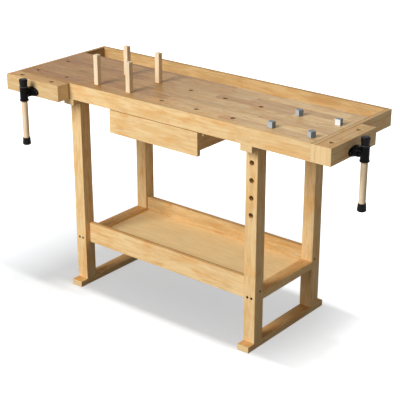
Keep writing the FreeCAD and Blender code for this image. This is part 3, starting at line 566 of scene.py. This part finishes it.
def stave_color(graph, color, blocks, look):
    """Staves of different tones, some of them redder, with glue lines between."""
    color = graph.varied(color, blocks.tone, (1.0 - look.tone, 1.0 + look.tone * LIGHTER_STAVE_SHARE))
    red = graph.ease(blocks.tone, *RED_STAVE_SHARES, look.red, 0.0)
    color = graph.tinted(red, color, RED_STAVE_TINT)
    return graph.varied(color, blocks.glue, GLUE_SHARES)


def low_end_share(graph, box, along, grain_axis):
    """How strongly a board's top is darkened along its grain: fully at the low end, not at all at the high
    end.
    """
    length = (box[1] - box[0])[AXES.index(grain_axis)]
    return graph.fade(graph.math("DIVIDE", along, length), *LOW_END_SPAN_SHARES)


def painted_shade_color(graph, color, node, box, facing):
    """A board's colour with painted shade at its joint and on its hole walls, where it has them."""
    # Painted shade: the board is darkened near the side that meets a joint or corner.
    if node in SEAM_SHADES:
        color = graph.varied(color, seam_shade_share(graph, SEAM_SHADES[node], box, facing), SEAM_SHADE_SHARES)
    # Painted shade: the walls of the board's holes are darkened.
    if node in SHADED_BORES:
        bore = SHADED_BORES[node]
        color = graph.varied(color, bore_shade_share(graph, box, bore.axis), (1.0, bore.color_share))
    return color


def wood_height(graph, figure, glue):
    """Raised fibres, with sunk pores and glue lines."""
    height = graph.times(figure.fibre, FIBRE_HEIGHT_SHARE)
    height = graph.plus_share(height, figure.pores, -PORE_DEPTH_SHARE)
    return graph.plus_share(height, glue, -GLUE_DEPTH_SHARE)


def wood_roughness(graph, figure, blotch, facing, look):
    """Lacquer that is rougher with the fibres, in blotches and on end grain."""
    rough = graph.spread(figure.fibre, look.roughness, look.roughness + FIBRE_ROUGHNESS)
    rough = graph.plus_share(rough, blotch, BLOTCH_ROUGHNESS)
    return graph.plus_share(rough, facing.end_grain, END_GRAIN_ROUGHNESS)


def wood(node, axes, stave_width, seed, look):
    """Lacquered wood of finger-jointed staves. axes are the grain's, the staves' and the third direction."""
    graph = material_graph(f"wood_{node}")
    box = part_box(node)
    place = board_place(graph, box[0], axes)
    along, across, _ = place
    blocks = stave_blocks(graph, along, across, stave_width, seed)
    shift = graph.separate(graph.scaled(blocks.color, BLOCK_SHIFT))
    figure = wood_figure(graph, [graph.math("ADD", side, shift[index]) for index, side in enumerate(place)])
    facing = normal_shares(graph, axes[0])
    blotch = graph.noise(graph.object_place(), BLOTCH_SCALE)

    color = grain_color(graph, figure, look)
    end_grain = graph.times(facing.end_grain, END_GRAIN_SHARE)
    color = graph.mix(end_grain, color, end_grain_color(graph, look))
    color = stave_color(graph, color, blocks, look)
    color = graph.varied(color, blotch, BLOTCH_SHARES)
    # Painted highlight: rounded edges are lightened towards the light wood colour.
    color = graph.mix(graph.times(facing.edge, EDGE_HIGHLIGHT_SHARE), color, opaque(look.light))
    # Upper sides take a darker tint: partly wear, partly painted shade for tops that get less light than the
    # fronts.
    used = graph.times(facing.upward, look.used)
    # Some boards' tops are darkened more towards their low end.
    if node in DARKER_AT_LOW_END:
        used = graph.times(used, low_end_share(graph, box, along, axes[0]))
    color = graph.tinted(used, color, look.tint)
    return graph.finish(
        Base_Color=painted_shade_color(graph, color, node, box, facing),
        Roughness=wood_roughness(graph, figure, blotch, facing, look),
        Normal=graph.bump(wood_height(graph, figure, blocks.glue), WOOD_BUMP),
        Specular_IOR_Level=look.shine,
    )


# Metal, coating and rubber


def black_casting(highlight_height):
    """Black powder coat on a casting, a little pebbled, with rubbed patches and a painted highlight: a bright
    ring at a height.
    """
    graph = material_graph("black_casting")
    place = graph.object_place()
    pebbles = graph.noise(place, COAT_PEBBLE_SCALE)
    rubbed = graph.ease(graph.noise(place, COAT_RUB_SCALE, FINE_DETAIL), *COAT_RUB_MARK_SHARES)
    from_highlight = graph.math("ABSOLUTE", graph.math("SUBTRACT", graph.separate(place)["Z"], highlight_height))
    color = graph.mix(rubbed, COAT_BLACK, COAT_RUBBED)
    # Painted highlight: a bright ring round the casting at a given height.
    color = graph.mix(graph.fade(from_highlight, 0.0, COAT_RIM_HIGHLIGHT_WIDTH), color, COAT_RIM_HIGHLIGHT)
    return graph.finish(
        Base_Color=color,
        Roughness=graph.spread(graph.noise(place, COAT_SHEEN_SCALE), *COAT_ROUGHNESS),
        Normal=graph.bump(pebbles, COAT_BUMP),
        Specular_IOR_Level=COAT_SHINE,
    )


def moulded_rubber():
    """Matt black rubber with a fine skin and a bloom of dust."""
    graph = material_graph("moulded_rubber")
    place = graph.object_place()
    skin = graph.noise(place, RUBBER_SKIN_SCALE)
    dust = graph.ease(graph.noise(place, RUBBER_DUST_SCALE, FINE_DETAIL), *RUBBER_DUST_MARK_SHARES)
    return graph.finish(
        Base_Color=graph.mix(dust, RUBBER_BLACK, RUBBER_DUST),
        Roughness=graph.spread(dust, *RUBBER_ROUGHNESS),
        Normal=graph.bump(skin, RUBBER_BUMP),
        Specular_IOR_Level=RUBBER_SHINE,
    )


def tool_marks(graph, place, scales):
    return graph.noise(graph.vector("MULTIPLY", place, scales), detail=FINE_DETAIL)


def turned_steel(name, tint, roughness, mark_scales):
    """Machined steel with fine tool marks and patches of tarnish."""
    graph = material_graph(name)
    place = graph.object_place()
    marks = tool_marks(graph, place, mark_scales)
    tarnish = graph.noise(place, TARNISH_SCALE, FINE_DETAIL)
    return graph.finish(
        Base_Color=graph.varied(tint, tarnish, TARNISH_SHARES),
        Metallic=1.0,
        Roughness=graph.plus_share(graph.spread(tarnish, *roughness), marks, MARK_ROUGHNESS),
        Normal=graph.bump(marks, STEEL_BUMP),
    )


def satin_zinc(name, front_reflection):
    """Zinc-plated steel with brush marks. front_reflection is a painted reflection: the colour of the face
    that is turned to the front.
    """
    graph = material_graph(name)
    place = graph.object_place()
    marks = tool_marks(graph, place, MARKS_ALONG_Z)
    patches = graph.noise(place, ZINC_PATCH_SCALE, FINE_DETAIL)
    forward = graph.times(graph.separate(graph.object_normal())["Y"], -1.0)
    # Painted reflection: the face turned to the front takes a lighter colour.
    color = graph.mix(graph.ease(forward, *ZINC_FACING_SHARES), ZINC_GREY, front_reflection)
    return graph.finish(
        Base_Color=graph.varied(color, patches, ZINC_PATCH_SHARES),
        Metallic=ZINC_METAL,
        Roughness=graph.plus_share(graph.spread(patches, *ZINC_ROUGHNESS), marks, ZINC_MARK_ROUGHNESS),
        Normal=graph.bump(marks, STEEL_BUMP),
        Specular_IOR_Level=ZINC_SHINE,
    )


def grey_casting():
    """Plain grey iron with a sand-cast skin and a little rust."""
    graph = material_graph("grey_casting")
    place = graph.object_place()
    sand = graph.noise(place, IRON_SAND_SCALE, RICH_DETAIL)
    rust = graph.ease(graph.noise(place, IRON_RUST_SCALE, RICH_DETAIL), *IRON_RUST_MARK_SHARES)
    return graph.finish(
        Base_Color=graph.mix(graph.times(rust, IRON_RUST_SHARE), IRON_GREY, IRON_RUST),
        Metallic=IRON_METAL,
        Roughness=graph.spread(sand, *IRON_ROUGHNESS),
        Normal=graph.bump(sand, IRON_BUMP),
    )


# Dressing the carried-over pieces


def dress(node, material):
    """Give a carried-over piece its material."""
    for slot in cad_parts[node].material_slots:
        slot.material = material


def board_groups():
    """Wooden pieces as (nodes, grain directions, stave width, look)."""
    trestle_bars = [f"{side}_{bar}" for side in SIDES for bar in ("foot", "head_rail", "side_rail")]
    legs = [f"{side}_{row}_leg" for side in SIDES for row in ROWS]
    rails = ["tray_front_rail", "shelf_front_rail", "shelf_cleats"]
    back_rails = ["back_board", "shelf_back_rail"]
    drawer_long = ["drawer_front", "drawer_back"]
    drawer_cross = ["drawer_left_side", "drawer_right_side", "drawer_strips"]
    runners = ["left_drawer_runner", "right_drawer_runner", "slab_bearers"]
    pegs = [f"peg_{row}_{side}" for row in ROWS for side in SIDES]
    bars = [f"{vise}_vise_bar" for vise in VISES]
    return [
        (["top_slab"], SLAB_WAY, STAVE_WIDTH, TOP_WOOD),
        (["front_vise_jaw"], SLAB_WAY, STAVE_WIDTH, APRON_WOOD),
        (["end_vise_jaw"], CROSS_WAY, STAVE_WIDTH, END_WOOD),
        (["front_apron"], ALONG_X, WHOLE_BOARD, FRONT_WOOD),
        (["left_end_cap"], ALONG_Y, WHOLE_BOARD, APRON_WOOD),
        (["right_end_cap"], ALONG_Y, WHOLE_BOARD, END_WOOD),
        (drawer_long + rails, ALONG_X, WHOLE_BOARD, FRAME_WOOD),
        (back_rails, ALONG_X, WHOLE_BOARD, SHADED_BACK_WOOD),
        (trestle_bars + drawer_cross + runners, ALONG_Y, WHOLE_BOARD, FRAME_WOOD),
        (legs, ALONG_Z, WHOLE_BOARD, FRAME_WOOD),
        (["shelf_panel", "tray_floor", "drawer_bottom"], SLAB_WAY, WHOLE_BOARD, PLYWOOD),
        (pegs + bars, ALONG_Z, WHOLE_BOARD, PALE_WOOD),
    ]


def dress_wood():
    """Give each wooden piece a wood of its own, with a seed of its own."""
    seed = 1
    for nodes, axes, stave_width, look in board_groups():
        for node in nodes:
            dress(node, wood(node, axes, stave_width, seed, look))
            seed += 1


def dress_vises():
    """Give the vises' pieces their coating, rubber, steel and iron, and return the steel of each vise."""
    casting = black_casting(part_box("front_vise_hub")[1].z)
    rubber = moulded_rubber()
    steel = {}
    for vise, mark_scales in zip(VISES, (MARKS_ALONG_Y, MARKS_ALONG_X)):
        steel[vise] = turned_steel(f"steel_{vise}", STEEL_TINT, STEEL_ROUGHNESS, mark_scales)
        for piece in ("flange", "hub"):
            dress(f"{vise}_vise_{piece}", casting)
        dress(f"{vise}_vise_bar_caps", rubber)
        for piece in ("guide_rods", "collar", "screw"):
            dress(f"{vise}_vise_{piece}", steel[vise])
    dress("vise_nut_blocks", grey_casting())
    return steel


def dress_fasteners():
    """Give bolts, screws and nuts their metal, and return the bolts' steel."""
    bolt_steel = turned_steel("bolt_steel", BOLT_TINT, BOLT_ROUGHNESS, MARKS_ALL_WAYS)
    for node in ("side_rail_bolts", "shelf_rail_bolts", "top_bolts", "nut_block_screws"):
        dress(node, bolt_steel)
    dress("barrel_nuts", satin_zinc("nut_zinc", NUT_FRONT_REFLECTION))
    return bolt_steel


def dress_dogs():
    """Plate the dogs with zinc, their fronts lighter as a painted reflection. One of them has a near-white
    painted reflection on its front.
    """
    dog_zinc = satin_zinc("dog_zinc", DOG_FRONT_REFLECTION)
    for row in ROWS:
        for side in SIDES:
            dress(f"dog_{row}_{side}", dog_zinc)
    dress(REFLECTING_DOG, satin_zinc("dog_zinc_white_reflection", DOG_WHITE_REFLECTION))


# Threaded vise screws and the flanges' screws


def plain_ring(distance, radius):
    return distance, [radius] * ROUND_STEPS


def thread_ring(distance, root, start, end):
    """A ring across the thread, whose ridge winds round the root and runs out at both ends."""
    runout = min(1.0, (distance - start) / THREAD_LEAD, (end - distance) / THREAD_LEAD)
    radii = []
    for step in range(ROUND_STEPS):
        phase = ((distance - start) / THREAD_LEAD - step / ROUND_STEPS) % 1
        off_crest = abs(2 * phase - 1)
        rise = (THREAD_ROOT_SHARE - off_crest) / (THREAD_ROOT_SHARE - THREAD_CREST_SHARE)
        radii.append(root + THREAD_DEPTH * runout * min(1.0, max(0.0, rise)))
    return distance, radii


def lathe(mesh, rings):
    """A closed round solid about the Z axis. Each ring is a distance and a radius at every step of a turn."""
    turns = [2 * math.pi * step / ROUND_STEPS for step in range(ROUND_STEPS)]
    rows = []
    for distance, radii in rings:
        corners = [(radius * math.cos(turn), radius * math.sin(turn)) for radius, turn in zip(radii, turns)]
        rows.append([mesh.verts.new((x, y, distance)) for x, y in corners])
    for lower, upper in zip(rows, rows[1:]):
        for step in range(ROUND_STEPS):
            after = (step + 1) % ROUND_STEPS
            mesh.faces.new((lower[step], lower[after], upper[after], upper[step]))
    mesh.faces.new(reversed(rows[0]))
    mesh.faces.new(rows[-1])


def new_piece(name, mesh, material, placement):
    """A smooth-shaded object from a finished bmesh, with sharp corners kept."""
    bmesh.ops.recalc_face_normals(mesh, faces=mesh.faces)
    data = bpy.data.meshes.new(name)
    mesh.to_mesh(data)
    mesh.free()
    data.transform(placement)
    data.shade_smooth()
    data.set_sharp_from_angle(angle=SHARP_ANGLE)
    data.materials.append(material)
    piece = bpy.data.objects.new(name, data)
    bpy.context.scene.collection.objects.link(piece)
    return piece


def vise_frame(vise):
    """The middle of a vise screw's outer end, the axis from there into the bench, and the screw's length."""
    low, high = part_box(f"{vise}_vise_screw")
    middle = (low + high) / 2
    if vise == "front":
        return Vector((middle.x, low.y, middle.z)), Vector((0, 1, 0)), high.y - low.y
    return Vector((high.x, middle.y, middle.z)), Vector((-1, 0, 0)), high.x - low.x


def placed_along(start, axis):
    """The placement that carries the Z axis at zero to a start and an axis."""
    return Matrix.Translation(start) @ UP.rotation_difference(axis).to_matrix().to_4x4()


def jaw_inner_face(vise, start):
    """How far from the screw's outer end the inner face of the jaw is."""
    low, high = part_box(f"{vise}_vise_jaw")
    return high.y - start.y if vise == "front" else start.x - low.x


def threaded_screw(vise, material):
    """The vise screw: a plain journal in the jaw and a threaded length behind it."""
    start, axis, length = vise_frame(vise)
    low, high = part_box(f"{vise}_vise_screw")
    crest = (high.z - low.z) / 2
    root = crest - THREAD_DEPTH
    journal_end = jaw_inner_face(vise, start) + THREAD_START_GAP
    thread_start = journal_end + THREAD_DEPTH
    thread_end = length - THREAD_END_GAP
    count = int((thread_end - thread_start) / THREAD_LEAD * THREAD_RINGS)
    places = [thread_start + (thread_end - thread_start) * step / count for step in range(count + 1)]
    head = [plain_ring(0.0, crest - TIP_BEVEL), plain_ring(TIP_BEVEL, crest), plain_ring(journal_end, crest)]
    thread = [thread_ring(place, root, thread_start, thread_end) for place in places]
    tip = [plain_ring(length - TIP_BEVEL, root), plain_ring(length, root - TIP_BEVEL)]
    mesh = bmesh.new()
    lathe(mesh, head + thread + tip)
    piece = new_piece(f"{vise}_vise_thread", mesh, material, placed_along(start, axis))
    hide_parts(f"{vise}_vise_screw")
    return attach(piece, f"{vise}_screw_group")


def slot_cut(mesh):
    """Sink a cross recess into the top of a domed screw head standing on Z zero."""
    top = max(vertex.co.z for vertex in mesh.verts)
    for vertex in mesh.verts:
        x, y = abs(vertex.co.x), abs(vertex.co.y)
        in_first = x < FLANGE_SLOT_HALF_LENGTH and y < FLANGE_SLOT_HALF_WIDTH
        in_second = y < FLANGE_SLOT_HALF_LENGTH and x < FLANGE_SLOT_HALF_WIDTH
        if vertex.co.z > 0 and (in_first or in_second):
            vertex.co.z = top - FLANGE_SLOT_DEPTH


def screw_head(mesh):
    """A pan head as a fine square grid over a disc, domed, with a flat underside."""
    cells = [-1 + 2 * step / HEAD_CELLS for step in range(HEAD_CELLS + 1)]
    under = -FLANGE_SCREW_DOME * HEAD_UNDERSIDE_SHARE
    upper, lower = {}, {}
    for row, across in enumerate(cells):
        for column, along in enumerate(cells):
            x = across * math.sqrt(1 - along * along / 2) * FLANGE_SCREW_RADIUS
            y = along * math.sqrt(1 - across * across / 2) * FLANGE_SCREW_RADIUS
            share = min(1.0, math.hypot(x, y) / FLANGE_SCREW_RADIUS)
            rise = FLANGE_SCREW_DOME * math.sqrt(max(0.0, 1 - share ** HEAD_DOME_POWER))
            upper[row, column] = mesh.verts.new((x, y, rise))
            on_rim = row in (0, HEAD_CELLS) or column in (0, HEAD_CELLS)
            lower[row, column] = upper[row, column] if on_rim else mesh.verts.new((x, y, under))
    for row in range(HEAD_CELLS):
        for column in range(HEAD_CELLS):
            corners = ((row, column), (row + 1, column), (row + 1, column + 1), (row, column + 1))
            mesh.faces.new([upper[corner] for corner in corners])
            mesh.faces.new([lower[corner] for corner in reversed(corners)])
    slot_cut(mesh)


def flange_screws(vise, material):
    """A domed cross-head screw on each wing of a vise's flange."""
    start, axis, _ = vise_frame(vise)
    low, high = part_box(f"{vise}_vise_flange")
    sideways = UP.cross(axis)
    for side, half in zip(SIDES, (-1, 1)):
        seat = start + sideways * (half * FLANGE_SCREW_HALF_SPACING)
        if vise == "front":
            seat.y = high.y - FLANGE_SCREW_SEAT
        else:
            seat.x = low.x + FLANGE_SCREW_SEAT
        mesh = bmesh.new()
        screw_head(mesh)
        piece = new_piece(f"{vise}_flange_screw_{side}", mesh, material, placed_along(seat, -axis))
        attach(piece, f"{vise}_jaw_group")


# Studio


def seen_share(graph):
    """One for rays from the camera, and for rays that mirrors and glass send on."""
    rays = graph.add("ShaderNodeLightPath", {}).outputs
    seen = graph.math("MAXIMUM", rays["Is Camera Ray"], rays["Is Glossy Ray"])
    return graph.math("MAXIMUM", seen, rays["Is Transmission Ray"])


def floor_material():
    """A matt pale floor that glows where it is seen, so that it reads as white but keeps its shadow. The glow
    rises to full white away from a middle point, a painted fade of the shadow's outer parts, and it is cooler
    near the middle, painted to keep the shadow neutral grey.
    """
    graph = material_graph("studio_floor")
    seen = seen_share(graph)
    matt = graph.add("ShaderNodeBsdfDiffuse", {"Color": graph.mix(seen, FLOOR_BOUNCE_COLOR, FLOOR_COLOR)})
    places = {0: graph.object_place(), 1: FLOOR_SHADOW_FADE_MIDDLE}
    away = graph.add("ShaderNodeVectorMath", places, operation="DISTANCE")
    # Painted fade: the glow rises to white away from the middle, lightening the shadow's outer parts.
    white = graph.ease(away.outputs["Value"], FLOOR_SHADOW_FADE_FROM, FLOOR_SHADOW_FADE_TO)
    glow = graph.times(seen, graph.spread(white, FLOOR_GLOW, 1.0))
    glow_color = graph.mix(white, FLOOR_SHADOW_COOLING_COLOR, WHITE)
    light = graph.add("ShaderNodeEmission", {"Color": glow_color, "Strength": glow})
    total = graph.add("ShaderNodeAddShader", {0: matt.outputs[0], 1: light.outputs[0]})
    graph.add("ShaderNodeOutputMaterial", {"Surface": total.outputs[0]})
    return graph.owner


def build_floor():
    mesh = bmesh.new()
    corners = ((-1, -1), (1, -1), (1, 1), (-1, 1))
    mesh.faces.new([mesh.verts.new((x * FLOOR_HALF, y * FLOOR_HALF, 0)) for x, y in corners])
    floor = new_piece("studio_floor", mesh, floor_material(), Matrix.Identity(4))
    return floor


def build_world():
    """White where it is seen, and a dimmer, warmer fill where it lights the bench."""
    graph = Graph(bpy.data.worlds.new("studio"))
    seen = seen_share(graph)
    sky = {"Color": graph.mix(seen, SKY_TINT, WHITE), "Strength": graph.spread(seen, SKY_FILL, 1.0)}
    back = graph.add("ShaderNodeBackground", sky)
    graph.add("ShaderNodeOutputWorld", {"Surface": back.outputs[0]})
    bpy.context.scene.world = graph.owner


def soft_box(name, place, size, watts, floor, floor_state):
    """An oblong lamp aimed at the bench. By floor_state it lights only the floor or all but the floor."""
    data = bpy.data.lights.new(name, "AREA")
    data.shape = "RECTANGLE"
    data.size, data.size_y = size
    data.energy = watts
    lamp = bpy.data.objects.new(name, data)
    lamp.location = place
    lamp.rotation_euler = (Vector(LIGHT_AIM) - Vector(place)).to_track_quat("-Z", "Y").to_euler()
    bpy.context.scene.collection.objects.link(lamp)
    lit = bpy.data.collections.new(f"{name}_lights")
    lit.objects.link(floor)
    lit.collection_objects[0].light_linking.link_state = floor_state
    lamp.light_linking.receiver_collection = lit


def build_camera():
    data = bpy.data.cameras.new("photo_camera")
    data.sensor_width = CAMERA_SENSOR_MM
    data.lens = CAMERA_LENS_MM
    camera = bpy.data.objects.new("photo_camera", data)
    camera.location = CAMERA_PLACE
    camera.rotation_euler = (math.pi / 2 + CAMERA_PITCH, 0.0, CAMERA_YAW)
    bpy.context.scene.collection.objects.link(camera)
    bpy.context.scene.camera = camera


def main():
    build_camera()
    dress_wood()
    steel = dress_vises()
    bolt_steel = dress_fasteners()
    dress_dogs()
    for vise in VISES:
        threaded_screw(vise, steel[vise])
        flange_screws(vise, bolt_steel)
    floor = build_floor()
    build_world()
    soft_box("key", KEY_PLACE, KEY_SIZE, KEY_WATTS, floor, "EXCLUDE")
    soft_box("front_lamp", FRONT_LAMP_PLACE, FRONT_LAMP_SIZE, FRONT_LAMP_WATTS, floor, "EXCLUDE")
    soft_box("floor_lamp", FLOOR_LAMP_PLACE, FLOOR_LAMP_SIZE, FLOOR_LAMP_WATTS, floor, "INCLUDE")
    bpy.context.scene.view_settings.view_transform = "Standard"


main()
